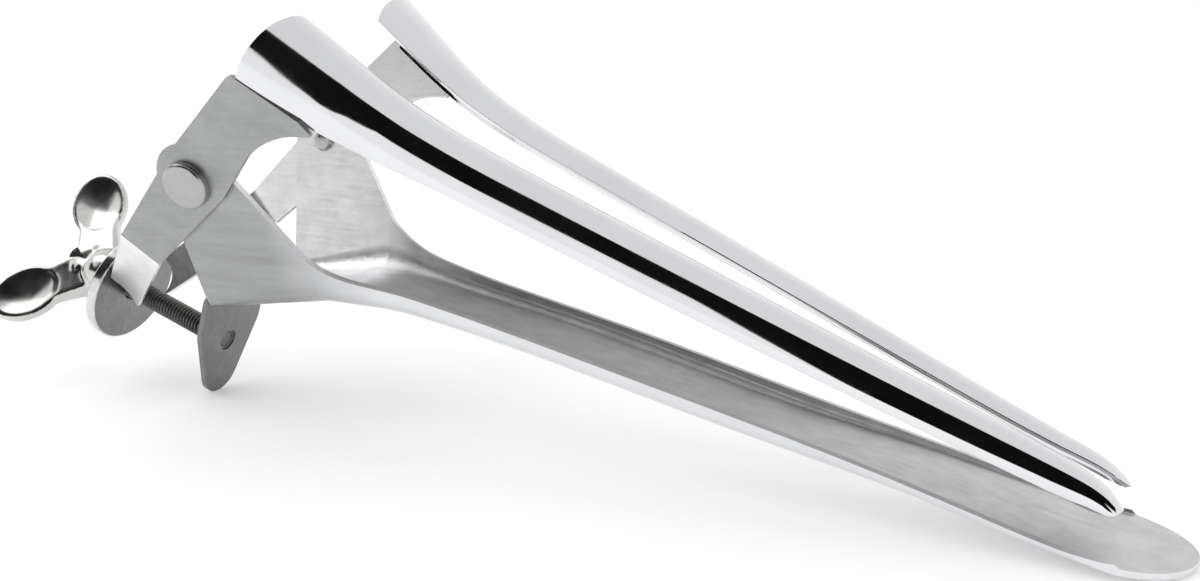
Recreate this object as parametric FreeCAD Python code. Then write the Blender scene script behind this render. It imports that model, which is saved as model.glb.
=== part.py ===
import FreeCAD, Part
import math
import os

# Three-bladed speculum with a thumbscrew. All sizes are in millimetres and degrees.
# Working frame: +X along the floor to the tip of the lower blade, +Y to the left, +Z up,
# with the foot of the rear tongue near X = 0. The finished parts are moved so that the origin
# lies at the bottom centre of the whole instrument. Pieces that come in pairs are built on the
# right (negative Y) and mirrored.

Vec = FreeCAD.Vector
UP = Vec(0, 0, 1)

# Sheet
sheet = 1.5

# Pivots: the right pivot on the inner face of its ear, and how that face leans and toes in
pivot_x = 26.5
pivot_y = 25.7
pivot_z = 66.6
lean = 15.0
toe_in = 4.6

# Rivets
shank_r = 2.5
head_r = 6.0
head_height = 2.2
head_edge = 0.5
tail_r = 3.0
tail_height = 1.2
tail_edge = 0.4
pivot_clearance = 0.05
side_clearance = 0.15

# Screw and washer
screw_r = 3.0
screw_fall = 19.1
screw_length = 55.9
screw_chamfer = 0.7
spigot_r = 2.3
eye_r = 3.0
eye_depth = 0.6
eye_x = 8.8
eye_z = 15.2
washer_r = 15.2
washer_thickness = 3.0
washer_bore_r = 3.3
washer_edge = 0.5
washer_front = 33.6

# Tongue, seen along the screw, and its bend into the base
tongue_half_width = 11.7
tongue_taper = 19.7
tongue_end_r = 6.3
tongue_end_at = 9.8
tongue_shoulder_r = 9.0
tongue_bend_r = 1.6

# Wing nut: distances back from the washer and out from the screw
nut_gap = 0.2
nut_clearance = 0.05
nut_boss_r = 6.4
nut_boss_length = 2.6
nut_body_r = 8.0
nut_body_at = 6.3
nut_body_round = 1.2
nut_rear_r = 5.2
nut_rear_round = 0.8
nut_length = 17.0
wing_turn = 42.4
wing_back = 23.2
wing_out = 16.0
wing_half_length = 10.8
wing_half_width = 8.3
wing_tilt = 50.0
wing_thickness = 2.6
wing_dish_depth = 0.6
wing_dish_margin = 1.5
wing_neck_width = 12.0
wing_neck_thickness = 4.6

# Ear, in the plane of the ear: u forwards and v up from the pivot
ear_r = 9.8
ear_rear_slope = 84.5
ear_front_slope = 55.2
ear_foot_v = -35.0
ear_low_v = -70.0

# Base between the ears
base_rear_x = 15.5
base_front_x = 52.0
base_rear_z = 30.0
base_front_z = 34.2
base_rear_corner = 3.2
base_front_corner = 11.0
base_waist_x = 13.0
base_waist = 11.7
base_wide_x = 20.5
base_wide = 17.6
wall_top_z = 84.0

# Arm, in the plane of the arm: u forwards and v up from the pivot
arm_top = (22.6, 30.6)
arm_elbow = (-1.5, 9.4)
arm_elbow_r = 90.0
finger_heel = (-46.1, -36.7)
finger_toe = (-43.2, -48.0)
scallop = (-40.3, -41.2)
scallop_r = 6.0
finger_root = (-16.0, -23.2)
finger_root_r = 30.0
arm_waist = (8.6, -3.6)
arm_waist_r = 14.0
arm_front_mid = (20.5, 8.1)
arm_front_mid_r = 24.0
arm_front = (39.5, 14.8)
fold_at = (-24.5, -17.0)
fold_line = -42.0
fold_angle = 22.5
fold_r = 12.0
strip_reach = 90.0

# Upper blade, in sections square to its axis, the line of the roll's centres. Each station gives
# its share of the way from the root to the tip, the axis's place across and up, the outer radius,
# the fall of the blade there, and how far the section is rolled outwards from its crown.
blade_root_x = 47.2
blade_tip_x = 238.3
roll_in = 43.0
blade_stations = (
    dict(share=0.0000, y=21.2, z=95.6, r=13.4, fall=42.0, roll=105.0),
    dict(share=0.0356, y=19.9, z=91.0, r=12.8, fall=40.5, roll=105.0),
    dict(share=0.0774, y=18.4, z=85.9, r=11.8, fall=38.0, roll=105.0),
    dict(share=0.1193, y=16.9, z=81.1, r=10.7, fall=35.0, roll=104.0),
    dict(share=0.1716, y=15.4, z=75.6, r=9.8, fall=31.0, roll=101.0),
    dict(share=0.2449, y=13.9, z=69.0, r=9.15, fall=26.0, roll=96.0),
    dict(share=0.3391, y=12.7, z=61.6, r=8.6, fall=23.6, roll=95.0),
    dict(share=0.5379, y=10.3, z=46.2, r=7.7, fall=23.4, roll=95.0),
    dict(share=0.7473, y=7.5, z=30.1, r=6.6, fall=23.4, roll=95.0),
    dict(share=0.8624, y=5.9, z=21.5, r=5.8, fall=23.4, roll=95.0),
    dict(share=0.9252, y=5.4, z=17.2, r=5.0, fall=25.0, roll=95.0),
    dict(share=0.9665, y=5.6, z=14.9, r=3.9, fall=31.0, roll=94.0),
    dict(share=0.9869, y=5.9, z=13.6, r=2.9, fall=45.0, roll=92.0),
    dict(share=1.0000, y=6.3, z=11.9, r=2.1, fall=66.0, roll=90.0),
)

# Trough in front of the base. Each station gives its share of the way from the trough's start to
# the tip, the half width and height of the rim, the height of the underside, the corner's radius,
# the lean of the wall and the floor's own radius.
trough_start_x = 57.0
tip_x = 255.2
trough_stations = (
    dict(share=0.0000, half=18.8, rim=44.4, under=34.6, corner=8.4, lean=15.0, floor=400.0),
    dict(share=0.0303, half=16.9, rim=42.0, under=34.4, corner=6.0, lean=14.0, floor=150.0),
    dict(share=0.0706, half=14.8, rim=40.3, under=33.6, corner=4.6, lean=11.0, floor=70.0),
    dict(share=0.1362, half=13.4, rim=37.7, under=31.3, corner=4.0, lean=8.0, floor=45.0),
    dict(share=0.2674, half=13.2, rim=32.4, under=26.5, corner=3.8, lean=6.0, floor=40.0),
    dict(share=0.4692, half=12.9, rim=23.7, under=18.1, corner=3.6, lean=6.0, floor=45.0),
    dict(share=0.6710, half=12.8, rim=14.6, under=11.2, corner=2.3, lean=7.0, floor=150.0),
    dict(share=0.7820, half=13.4, rim=9.1, under=6.7, corner=1.9, lean=9.0, floor=300.0),
    dict(share=0.8527, half=13.8, rim=5.6, under=3.6, corner=1.8, lean=12.0, floor=400.0),
    dict(share=0.9233, half=15.0, rim=3.2, under=1.2, corner=1.8, lean=20.0, floor=400.0),
    dict(share=1.0040, half=17.0, rim=2.3, under=0.0, corner=1.8, lean=25.0, floor=400.0),
)
tip_length = 19.0
tip_half_width = 14.0


def sin(angle):
    return math.sin(math.radians(angle))


def cos(angle):
    return math.cos(math.radians(angle))


def tan(angle):
    return math.tan(math.radians(angle))


def frame(origin, x_axis, y_axis, z_axis):
    """Placement with the given origin and axes."""
    matrix = FreeCAD.Matrix(
        x_axis.x, y_axis.x, z_axis.x, origin.x,
        x_axis.y, y_axis.y, z_axis.y, origin.y,
        x_axis.z, y_axis.z, z_axis.z, origin.z,
        0, 0, 0, 1,
    )
    return FreeCAD.Placement(matrix)


def placed(shape, placement):
    moved = shape.copy()
    moved.Placement = placement.multiply(moved.Placement)
    return moved


def to_left(shape):
    return shape.mirror(Vec(0, 0, 0), Vec(0, 1, 0))


def both_sides(shape):
    return shape.fuse(to_left(shape))


def outline(corners):
    """Closed wire in the local XY plane; a third number rounds that corner to its radius."""
    count = len(corners)
    starts = []
    ends = []
    mids = []
    for i in range(count):
        here = Vec(corners[i][0], corners[i][1], 0)
        radius = corners[i][2] if len(corners[i]) > 2 else 0
        before = Vec(corners[i - 1][0], corners[i - 1][1], 0)
        after = Vec(corners[(i + 1) % count][0], corners[(i + 1) % count][1], 0)
        back = (before - here).normalize()
        ahead = (after - here).normalize()
        half_angle = back.getAngle(ahead) / 2
        if radius:
            reach = radius / math.tan(half_angle)
            middle = (back + ahead).normalize()
            centre = here + middle * (radius / math.sin(half_angle))
            starts.append(here + back * reach)
            ends.append(here + ahead * reach)
            mids.append(centre - middle * radius)
        else:
            starts.append(here)
            ends.append(here)
            mids.append(None)
    edges = []
    for i in range(count):
        if mids[i]:
            edges.append(Part.Arc(starts[i], mids[i], ends[i]).toShape())
        edges.append(Part.makeLine(ends[i], starts[(i + 1) % count]))
    return Part.Wire(edges)


def prism(wire, low, high, placement):
    """Solid between two heights on the local Z axis, with its outline in the local XY plane."""
    solid = Part.Face(wire).extrude(Vec(0, 0, high - low))
    solid.translate(Vec(0, 0, low))
    return placed(solid, placement)


def turned(profile, placement):
    """Solid of revolution about the local Z axis; the profile is radius and height."""
    points = [Vec(r, 0, z) for r, z in profile]
    face = Part.Face(Part.makePolygon(points + [points[0]]))
    return placed(face.revolve(Vec(0, 0, 0), UP, 360), placement)


def cylinder(radius, low, high, placement):
    return placed(Part.makeCylinder(radius, high - low, Vec(0, 0, low)), placement)


# Right pivot: w points out along the rivet, u forwards and v up in the face of the ear
pivot_w = Vec(cos(lean) * sin(toe_in), -cos(lean) * cos(toe_in), -sin(lean))
pivot_u = (Vec(1, 0, 0) - pivot_w * pivot_w.x).normalize()
pivot_v = pivot_w.cross(pivot_u)
pivot_at = Vec(pivot_x, -pivot_y, pivot_z)
pivot_frame = frame(pivot_at, pivot_u, pivot_v, pivot_w)
arm_inner = sheet + side_clearance
arm_outer = arm_inner + sheet

# Screw: the local Z axis runs back from the front face of the tongue to the free end
screw_back = Vec(-cos(screw_fall), 0, sin(screw_fall))
screw_up = Vec(sin(screw_fall), 0, cos(screw_fall))
eye_at = Vec(eye_x, 0, eye_z)
screw_frame = frame(eye_at, screw_up, screw_back.cross(screw_up), screw_back)
nut_front = washer_front + washer_thickness + nut_gap


def wall_y(x, z, offset):
    """Y of the ear's inner face on the right, or of a plane offset outwards from it."""
    rest = offset + pivot_at.dot(pivot_w) - x * pivot_w.x - z * pivot_w.z
    return rest / pivot_w.y


def channel_section(x, trimmed):
    """Cross section of the base and both ear walls, square to X, at full height or trimmed."""
    share = (x - base_rear_x) / (base_front_x - base_rear_x)
    under = base_rear_z + share * (base_front_z - base_rear_z)
    corner = base_rear_corner + share * (base_front_corner - base_rear_corner)
    out = Vec(0, pivot_w.y, pivot_w.z).normalize()
    centre_z = under + corner
    centre = Vec(x, wall_y(x, centre_z, sheet - corner), centre_z)
    wall = sheet / Vec(0, pivot_w.y, pivot_w.z).Length
    if trimmed:
        top_out = ear_front_at(x, sheet)
        top_in = ear_front_at(x, 0)
    else:
        top_out = Vec(x, wall_y(x, wall_top_z, sheet), wall_top_z)
        top_in = Vec(x, wall_y(x, wall_top_z, 0), wall_top_z)
    ends = (top_out, top_in)
    return trough_wire(ends, centre, corner, wall, out, UP * -1, Vec(x, 0, under))


def ear_front_at(x, offset):
    """Point of the ear's front edge at one X, on its inner face or a plane offset from it."""
    u = (x - pivot_at.x - offset * pivot_w.x) / pivot_u.x
    v = (ear_r - u * sin(ear_front_slope)) / cos(ear_front_slope)
    return pivot_at + pivot_u * u + pivot_v * v + pivot_w * offset


def trough_wire(ends, centre, corner, wall, out, down, bottom):
    """Closed wire of a folded sheet, from the rim and the corner of its right side."""
    top_out, top_in = ends
    half_way = (out + down).normalize()
    inner = corner - sheet
    inner_wall = corner - wall
    inner_mid = (inner + inner_wall) / 2
    right_outer = (
        (top_out, centre + out * corner),
        (centre + out * corner, centre + half_way * corner, centre + down * corner),
    )
    right_inner = (
        (centre + down * inner, centre + half_way * inner_mid, centre + out * inner_wall),
        (centre + out * inner_wall, top_in),
    )
    floor_outer = (centre + down * corner, bottom, flip(centre + down * corner))
    floor_inner = (flip(centre + down * inner), bottom + UP * sheet, centre + down * inner)
    steps = list(right_outer) + [floor_outer]
    steps += [mirrored_step(step) for step in reversed(right_outer)]
    steps += [(flip(top_out), flip(top_in))]
    steps += [mirrored_step(step) for step in reversed(right_inner)]
    steps += [floor_inner] + list(right_inner) + [(top_in, top_out)]
    return Part.Wire([edge_of(step) for step in steps])


def flip(point):
    return Vec(point.x, -point.y, point.z)


def mirrored_step(step):
    return tuple(flip(point) for point in reversed(step))


def edge_of(step):
    if len(step) == 2 or is_straight(step):
        return Part.makeLine(step[0], step[-1])
    return Part.Arc(*step).toShape()


def is_straight(step):
    middle = (step[0] + step[2]) * 0.5
    return (middle - step[1]).Length < 0.001


def trough_section(station):
    """Cross section of the trough, square to X, from one station."""
    x = trough_start_x + station["share"] * (tip_x - trough_start_x)
    corner = station["corner"]
    floor = station["floor"]
    out = Vec(0, -cos(station["lean"]), -sin(station["lean"]))
    down_wall = Vec(0, sin(station["lean"]), -cos(station["lean"]))
    bottom = Vec(x, 0, station["under"])
    floor_centre = bottom + UP * floor
    top_out = Vec(x, -station["half"], station["rim"])
    start = top_out - out * corner
    gap = start - floor_centre
    along = down_wall.dot(gap)
    root = along * along - gap.dot(gap) + (floor - corner) * (floor - corner)
    centre = start + down_wall * (math.sqrt(root) - along)
    down = (centre - floor_centre).normalize()
    ends = (top_out, top_out - out * sheet)
    return trough_wire(ends, centre, corner, sheet, out, down, bottom)


def ear_outline():
    """Side outline of the ear: a round head, a straight rear edge and a falling front edge."""
    rear_x = -ear_r / sin(ear_rear_slope)
    front_x = ear_r / sin(ear_front_slope)
    rear_run = 1 / tan(ear_rear_slope)
    front_run = 1 / tan(ear_front_slope)
    peak_v = (front_x - rear_x) / (front_run - rear_run)
    peak_u = rear_x - peak_v * rear_run
    foot_u = rear_x - ear_foot_v * rear_run
    front_u = front_x - ear_low_v * front_run
    return outline([
        (foot_u, ear_foot_v),
        (peak_u, peak_v, ear_r),
        (front_u, ear_low_v),
        (foot_u, ear_low_v),
    ])


def base_outline():
    """Plan of the base behind the ears, narrowing to the width of the tongue."""
    return outline([
        (base_rear_x, -base_half(base_rear_x)),
        (base_wide_x, -base_half(base_wide_x)),
        (base_wide_x, base_half(base_wide_x)),
        (base_rear_x, base_half(base_rear_x)),
    ])


def base_half(x):
    return base_waist + (x - base_waist_x) * (base_wide - base_waist) / (base_wide_x - base_waist_x)


def channel():
    """Base and ears, cut out of a folded channel with flat walls."""
    sections = [channel_section(base_rear_x, False), channel_section(base_front_x, False)]
    block = Part.makeLoft(sections, True, True)
    reach = pivot_y + 2 * sheet
    ears = both_sides(prism(ear_outline(), -reach, 3 * sheet, pivot_frame))
    foot = pivot_at + pivot_v * ear_foot_v
    plan = prism(base_outline(), 0, foot.z, FreeCAD.Placement())
    return block.common(ears.fuse(plan))


def trough():
    """Long front part of the lower blade with its rounded tip."""
    sections = [channel_section(base_front_x, True)]
    sections += [trough_section(station) for station in trough_stations]
    body = Part.makeLoft(sections, True, False)
    straight = tip_x - tip_length
    narrow_from = straight - tip_length / 2
    high = 2 * base_front_z
    wide = 2 * base_wide
    long_part = Part.makeBox(
        narrow_from - base_front_x, 2 * wide, high, Vec(base_front_x, -wide, -sheet)
    )
    end_part = Part.makeBox(
        straight - narrow_from, 2 * tip_half_width, high, Vec(narrow_from, -tip_half_width, -sheet)
    )
    oval = Part.Ellipse(Vec(0, 0, 0), tip_length, tip_half_width).toShape()
    oval.translate(Vec(straight, 0, -sheet))
    tip = Part.Face(Part.Wire(oval)).extrude(Vec(0, 0, high))
    return body.common(long_part.fuse([end_part, tip]))


def base_slope_level():
    """Direction of the base going back, and the way up from it."""
    slope = (base_front_z - base_rear_z) / (base_front_x - base_rear_x)
    back = Vec(-1, 0, -slope).normalize()
    return back, Vec(back.z, 0, -back.x)


def tongue_meet():
    """Where the underside of the base and the front face of the tongue would meet."""
    back, up = base_slope_level()
    start = Vec(base_rear_x, 0, base_rear_z)
    run = (eye_at - start).dot(screw_back) / back.dot(screw_back)
    return start + back * run


def tongue():
    """Tongue square to the screw, joined to the base by a bend."""
    back, up = base_slope_level()
    hang = screw_up * -1
    meet = tongue_meet()
    reach = tongue_bend_r * math.tan(back.getAngle(hang) / 2)
    start = meet - back * reach
    end = meet + hang * reach
    centre = start - up * tongue_bend_r
    middle = (up + screw_back).normalize()
    foot = end + hang * (meet.z + 2 * sheet)
    floor = Vec(base_rear_x, 0, base_rear_z)
    edges = [
        Part.makeLine(floor, start),
        Part.Arc(start, centre + middle * tongue_bend_r, end).toShape(),
        Part.makeLine(end, foot),
        Part.makeLine(foot, foot + screw_back * sheet),
        Part.makeLine(foot + screw_back * sheet, end + screw_back * sheet),
        Part.Arc(
            end + screw_back * sheet,
            centre + middle * (tongue_bend_r + sheet),
            start + up * sheet,
        ).toShape(),
        Part.makeLine(start + up * sheet, floor + UP * sheet),
        Part.makeLine(floor + UP * sheet, floor),
    ]
    width = 4 * base_wide
    bent = Part.Face(Part.Wire(edges)).extrude(Vec(0, width, 0))
    bent.translate(Vec(0, -width / 2, 0))
    seen = prism(tongue_outline(), -width, width, screw_frame)
    plan = prism(tongue_plan(), -sheet, pivot_z, FreeCAD.Placement())
    return bent.common(seen).common(plan)


def tongue_plan():
    """Plan of the tongue's root, widening into the base."""
    rear = -tongue_half_width
    return outline([
        (rear, -base_waist),
        (base_waist_x, -base_waist),
        (base_rear_x, -base_half(base_rear_x)),
        (base_rear_x, base_half(base_rear_x)),
        (base_waist_x, base_waist),
        (rear, base_waist),
    ])


def tongue_outline():
    """Outline of the tongue seen along the screw; local X is up."""
    point_down = -tongue_end_at - tongue_end_r / sin(tongue_taper)
    shoulder_up = point_down + tongue_half_width / tan(tongue_taper)
    bend_up = (tongue_meet() - eye_at).dot(screw_up)
    step_up = bend_up - tongue_bend_r - sheet
    wide = base_half(base_rear_x) + sheet
    return outline([
        (point_down, 0, tongue_end_r),
        (shoulder_up, -tongue_half_width, tongue_shoulder_r),
        (step_up, -tongue_half_width),
        (step_up, -wide),
        (bend_up + wide, -wide),
        (bend_up + wide, wide),
        (step_up, wide),
        (step_up, tongue_half_width),
        (shoulder_up, tongue_half_width, tongue_shoulder_r),
    ])


def lower_blade():
    body = tongue().fuse([channel(), trough()]).removeSplitter()
    bore = cylinder(shank_r, -sheet, 2 * sheet, pivot_frame)
    spigot_hole = cylinder(spigot_r, -sheet, 2 * sheet, screw_frame)
    recess = cylinder(eye_r, -sheet, eye_depth, screw_frame)
    return body.cut([bore, to_left(bore), spigot_hole, recess])


def blade_section(station):
    """Closed wire of the rolled sheet on the right, square to the axis."""
    normal = Vec(sin(station["fall"]), 0, cos(station["fall"]))
    side = Vec(0, -1, 0)
    radius = station["r"]
    x = blade_root_x + station["share"] * (blade_tip_x - blade_root_x)
    centre = Vec(x, -station["y"], station["z"])
    inner = radius - sheet
    middle = (station["roll"] - roll_in) / 2

    def at(r, angle):
        return centre + normal * (r * cos(angle)) + side * (r * sin(angle))

    outer_arc = Part.Arc(at(radius, -roll_in), at(radius, middle), at(radius, station["roll"]))
    inner_arc = Part.Arc(at(inner, station["roll"]), at(inner, middle), at(inner, -roll_in))
    return Part.Wire([
        outer_arc.toShape(),
        Part.makeLine(at(radius, station["roll"]), at(inner, station["roll"])),
        inner_arc.toShape(),
        Part.makeLine(at(inner, -roll_in), at(radius, -roll_in)),
    ])


def rolled_blade():
    return Part.makeLoft([blade_section(station) for station in blade_stations], True, False)


def arm_outline():
    """Side outline of the arm and its finger, with the hollow that straddles the screw."""
    return outline([
        arm_top,
        arm_elbow + (arm_elbow_r,),
        finger_heel,
        scallop + (scallop_r,),
        finger_toe,
        finger_root + (finger_root_r,),
        arm_waist + (arm_waist_r,),
        arm_front_mid + (arm_front_mid_r,),
        arm_front,
    ])


def bent_strip():
    """Flat sheet in the plane of the arm, bent inwards along the fold line."""
    along = Vec(cos(fold_line), sin(fold_line), 0)
    away = Vec(sin(fold_line), -cos(fold_line), 0)
    mid_r = fold_r + sheet / 2
    reach = mid_r * tan(fold_angle / 2)
    length = strip_reach
    outer_r = fold_r + sheet
    centre = (-reach, arm_inner - fold_r)

    def on(radius, angle):
        return Vec(centre[0] + radius * sin(angle), 0, centre[1] + radius * cos(angle))

    finger = Vec(cos(fold_angle), 0, -sin(fold_angle)) * length
    inner_end = on(fold_r, fold_angle)
    outer_end = on(outer_r, fold_angle)
    edges = [
        Part.makeLine(Vec(-length, 0, arm_outer), on(outer_r, 0)),
        Part.Arc(on(outer_r, 0), on(outer_r, fold_angle / 2), outer_end).toShape(),
        Part.makeLine(outer_end, outer_end + finger),
        Part.makeLine(outer_end + finger, inner_end + finger),
        Part.makeLine(inner_end + finger, inner_end),
        Part.Arc(inner_end, on(fold_r, fold_angle / 2), on(fold_r, 0)).toShape(),
        Part.makeLine(on(fold_r, 0), Vec(-length, 0, arm_inner)),
        Part.makeLine(Vec(-length, 0, arm_inner), Vec(-length, 0, arm_outer)),
    ]
    strip = Part.Face(Part.Wire(edges)).extrude(Vec(0, 2 * length, 0))
    strip.translate(Vec(0, -length, 0))
    fold = frame(Vec(fold_at[0], fold_at[1], 0), away, UP.cross(away), UP)
    return placed(strip, pivot_frame.multiply(fold))


def upper_blade():
    """Right upper blade: rolled blade, flat arm and bent finger in one sheet."""
    deep = finger_heel[0] * sin(fold_angle) - 4 * sheet
    arm = bent_strip().common(prism(arm_outline(), deep, 4 * sheet, pivot_frame))
    body = rolled_blade().fuse(arm).removeSplitter()
    bore = cylinder(shank_r + pivot_clearance, 0, 4 * sheet, pivot_frame)
    return body.cut(bore)


def rivet():
    """Right pivot rivet: formed tail inside, shank, flat head outside."""
    head_base = arm_outer + side_clearance
    head_top = head_base + head_height
    return turned([
        (0, -tail_height),
        (tail_r - tail_edge, -tail_height),
        (tail_r, -tail_height + tail_edge),
        (tail_r, 0),
        (shank_r, 0),
        (shank_r, head_base),
        (head_r, head_base),
        (head_r, head_top - head_edge),
        (head_r - head_edge, head_top),
        (0, head_top),
    ], pivot_frame)


def screw():
    """Rod with a turned-down spigot through the tongue and a chamfered free end."""
    spigot_end = eye_depth / 2
    return turned([
        (0, spigot_end),
        (spigot_r, spigot_end),
        (spigot_r, sheet),
        (screw_r, sheet),
        (screw_r, screw_length - screw_chamfer),
        (screw_r - screw_chamfer, screw_length),
        (0, screw_length),
    ], screw_frame)


def washer():
    top = washer_front + washer_thickness
    return turned([
        (washer_bore_r, washer_front),
        (washer_r - washer_edge, washer_front),
        (washer_r, washer_front + washer_edge),
        (washer_r, top - washer_edge),
        (washer_r - washer_edge, top),
        (washer_bore_r, top),
    ], screw_frame)


def nut_hub():
    front = nut_front
    body = turned([
        (0, front),
        (nut_boss_r, front),
        (nut_boss_r, front + nut_boss_length),
        (nut_body_r, front + nut_body_at - nut_body_round),
        (nut_body_r, front + nut_body_at + nut_body_round),
        (nut_rear_r + nut_rear_round, front + nut_length - nut_gap - 2 * nut_rear_round),
        (nut_rear_r - nut_rear_round, front + nut_length - nut_gap),
        (0, front + nut_length - nut_gap),
    ], screw_frame)
    return body


def wing_frame(sign):
    """Frame of one wing's pad: X along its length, Z square to the plate."""
    across = screw_frame.Rotation.multVec(UP.cross(Vec(1, 0, 0)))
    out = (across * cos(wing_turn) + screw_up * sin(wing_turn)) * sign
    along = out * sin(wing_tilt) + screw_back * cos(wing_tilt)
    thick = out.cross(screw_back)
    centre = eye_at + screw_back * (nut_front - nut_gap + wing_back) + out * wing_out
    return frame(centre, along, thick.cross(along), thick)


def wing(sign):
    """One flared wing with an oval pad dished on both faces, on a thicker neck."""
    place = wing_frame(sign)
    half = wing_thickness / 2
    oval = Part.Ellipse(Vec(0, 0, 0), wing_half_length, wing_half_width).toShape()
    pad = prism(Part.Wire(oval), -half, half, place)
    across = wing_half_width - wing_dish_margin
    dish_r = (across * across + wing_dish_depth * wing_dish_depth) / (2 * wing_dish_depth)
    long_scale = (wing_half_length - wing_dish_margin) / across
    for side in (1, -1):
        ball = Part.makeSphere(dish_r)
        ball.translate(Vec(0, 0, side * (half - wing_dish_depth + dish_r)))
        stretch = FreeCAD.Matrix()
        stretch.scale(long_scale, 1, 1)
        pad = pad.cut(placed(ball.transformGeometry(stretch), place))
    root = wing_out / sin(wing_tilt)
    start = -root + screw_r
    neck = outline([
        (start, -wing_neck_width / 2),
        (-wing_half_length + 2 * wing_dish_margin, -wing_neck_width / 2 + wing_dish_margin),
        (-wing_half_length + 2 * wing_dish_margin, wing_neck_width / 2 - wing_dish_margin),
        (start, wing_neck_width / 2),
    ])
    web = prism(neck, -wing_neck_thickness / 2, wing_neck_thickness / 2, place)
    return pad.fuse(web)


def wing_nut():
    body = nut_hub().fuse([wing(1), wing(-1)])
    far = screw_length + 2 * wing_half_length
    body = body.common(cylinder(4 * wing_out, nut_front, far, screw_frame))
    bore = cylinder(screw_r + nut_clearance, 0, far, screw_frame)
    return body.cut(bore).removeSplitter()


def build():
    """All pieces in the working frame, by node name."""
    blade = upper_blade()
    pin = rivet()
    return {
        "lower_blade": lower_blade(),
        "upper_blade_right": blade,
        "upper_blade_left": to_left(blade),
        "pivot_rivet_right": pin,
        "pivot_rivet_left": to_left(pin),
        "screw": screw(),
        "thrust_washer": washer(),
        "wing_nut": wing_nut(),
    }


def bottom_centre(shapes):
    """Bottom centre of the box around all shapes."""
    box = FreeCAD.BoundBox()
    for shape in shapes:
        box.add(shape.optimalBoundingBox(False, False))
    return Vec((box.XMin + box.XMax) / 2, (box.YMin + box.YMax) / 2, box.ZMin)


def main():
    pieces = build()
    origin = bottom_centre(pieces.values())
    os.makedirs("parts", exist_ok=True)
    for name, shape in pieces.items():
        shape.translate(origin * -1)
        shape.exportStep("parts/" + name + ".step")
        print(name, "volume", round(shape.Volume), "valid", shape.isValid(), len(shape.Solids))
    print("origin in the working frame", origin)


main()
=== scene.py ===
import math

import bmesh
import bpy
from mathutils import Matrix, Vector


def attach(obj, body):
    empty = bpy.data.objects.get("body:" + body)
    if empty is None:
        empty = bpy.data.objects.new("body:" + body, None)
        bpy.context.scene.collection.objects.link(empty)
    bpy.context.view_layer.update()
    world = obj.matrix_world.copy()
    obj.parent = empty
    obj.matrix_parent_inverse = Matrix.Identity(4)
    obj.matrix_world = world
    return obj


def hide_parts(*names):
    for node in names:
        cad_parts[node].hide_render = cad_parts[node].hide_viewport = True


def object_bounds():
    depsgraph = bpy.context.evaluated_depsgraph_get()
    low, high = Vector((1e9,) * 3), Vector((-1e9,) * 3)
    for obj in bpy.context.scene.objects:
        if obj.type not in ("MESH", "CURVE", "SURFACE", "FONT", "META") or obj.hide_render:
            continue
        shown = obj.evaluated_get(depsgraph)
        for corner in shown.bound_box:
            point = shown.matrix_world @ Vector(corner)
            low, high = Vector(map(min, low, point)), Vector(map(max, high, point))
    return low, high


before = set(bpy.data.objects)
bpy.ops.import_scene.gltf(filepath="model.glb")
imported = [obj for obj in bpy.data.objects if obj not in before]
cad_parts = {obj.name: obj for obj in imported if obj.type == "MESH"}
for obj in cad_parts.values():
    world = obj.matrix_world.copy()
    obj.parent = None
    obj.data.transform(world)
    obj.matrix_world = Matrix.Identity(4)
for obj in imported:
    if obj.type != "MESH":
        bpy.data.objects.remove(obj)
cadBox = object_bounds()
print("frame loaded:", len(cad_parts), "nodes")

mm = 0.001
mergeDistance = 2e-6
partOrigin = Vector((96.985, 0.0, -0.0137))  # where the part's own origin lies in the drawing, in mm


def fromDrawing(x, y, z):
    return (Vector((x, y, z)) - partOrigin) * mm


def placeAt(origin, zAxis, xHint):
    # a frame with its Z along zAxis and its X as near xHint as it can be
    z = zAxis.normalized()
    y = z.cross(xHint).normalized()
    x = y.cross(z)
    return Matrix.Translation(origin) @ Matrix((x, y, z)).transposed().to_4x4()


def newObject(name, bm):
    mesh = bpy.data.meshes.new(name)
    bm.to_mesh(mesh)
    bm.free()
    item = bpy.data.objects.new(name, mesh)
    bpy.context.scene.collection.objects.link(item)
    return item


def withModifiers(item):
    # the shape of an object after its modifiers; the object itself goes
    solid = bpy.data.meshes.new_from_object(item.evaluated_get(bpy.context.evaluated_depsgraph_get()))
    bpy.data.objects.remove(item)
    bm = bmesh.new()
    bm.from_mesh(solid)
    return bm


def finishMesh(bm, name, body, materials, smoothAngle=35.0, weighted=True):
    # merges, turns the faces outwards and hands the mesh over as one piece at the origin
    bmesh.ops.remove_doubles(bm, verts=bm.verts, dist=mergeDistance)
    bmesh.ops.recalc_face_normals(bm, faces=bm.faces)
    for face in bm.faces:
        face.smooth = True
    piece = newObject(name, bm)
    piece.data.set_sharp_from_angle(angle=math.radians(smoothAngle))
    for material in materials:
        piece.data.materials.append(material)
    if weighted:
        even = piece.modifiers.new("even_shading", "WEIGHTED_NORMAL")
        even.keep_sharp = True
        even.weight = 100
    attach(piece, body)
    return piece


def turnProfile(points, segments=96):
    # spins a closed or axis-to-axis outline of (radius, height) in mm round Z
    bm = bmesh.new()
    verts = [bm.verts.new((r * mm, 0, z * mm)) for r, z in points]
    edges = [bm.edges.new((a, b)) for a, b in zip(verts, verts[1:])]
    bmesh.ops.spin(bm, geom=verts + edges, cent=(0, 0, 0), axis=(0, 0, 1), dvec=(0, 0, 0),
                   angle=2 * math.pi, steps=segments, use_merge=True)
    bmesh.ops.remove_doubles(bm, verts=bm.verts, dist=1e-6)
    return bm


def roundedCorner(centre, radius, start, end, steps=5):
    # points of an arc in an outline, angles in degrees
    points = []
    for i in range(steps + 1):
        angle = math.radians(start + (end - start) * i / steps)
        points.append((centre[0] + radius * math.cos(angle), centre[1] + radius * math.sin(angle)))
    return points


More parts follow.
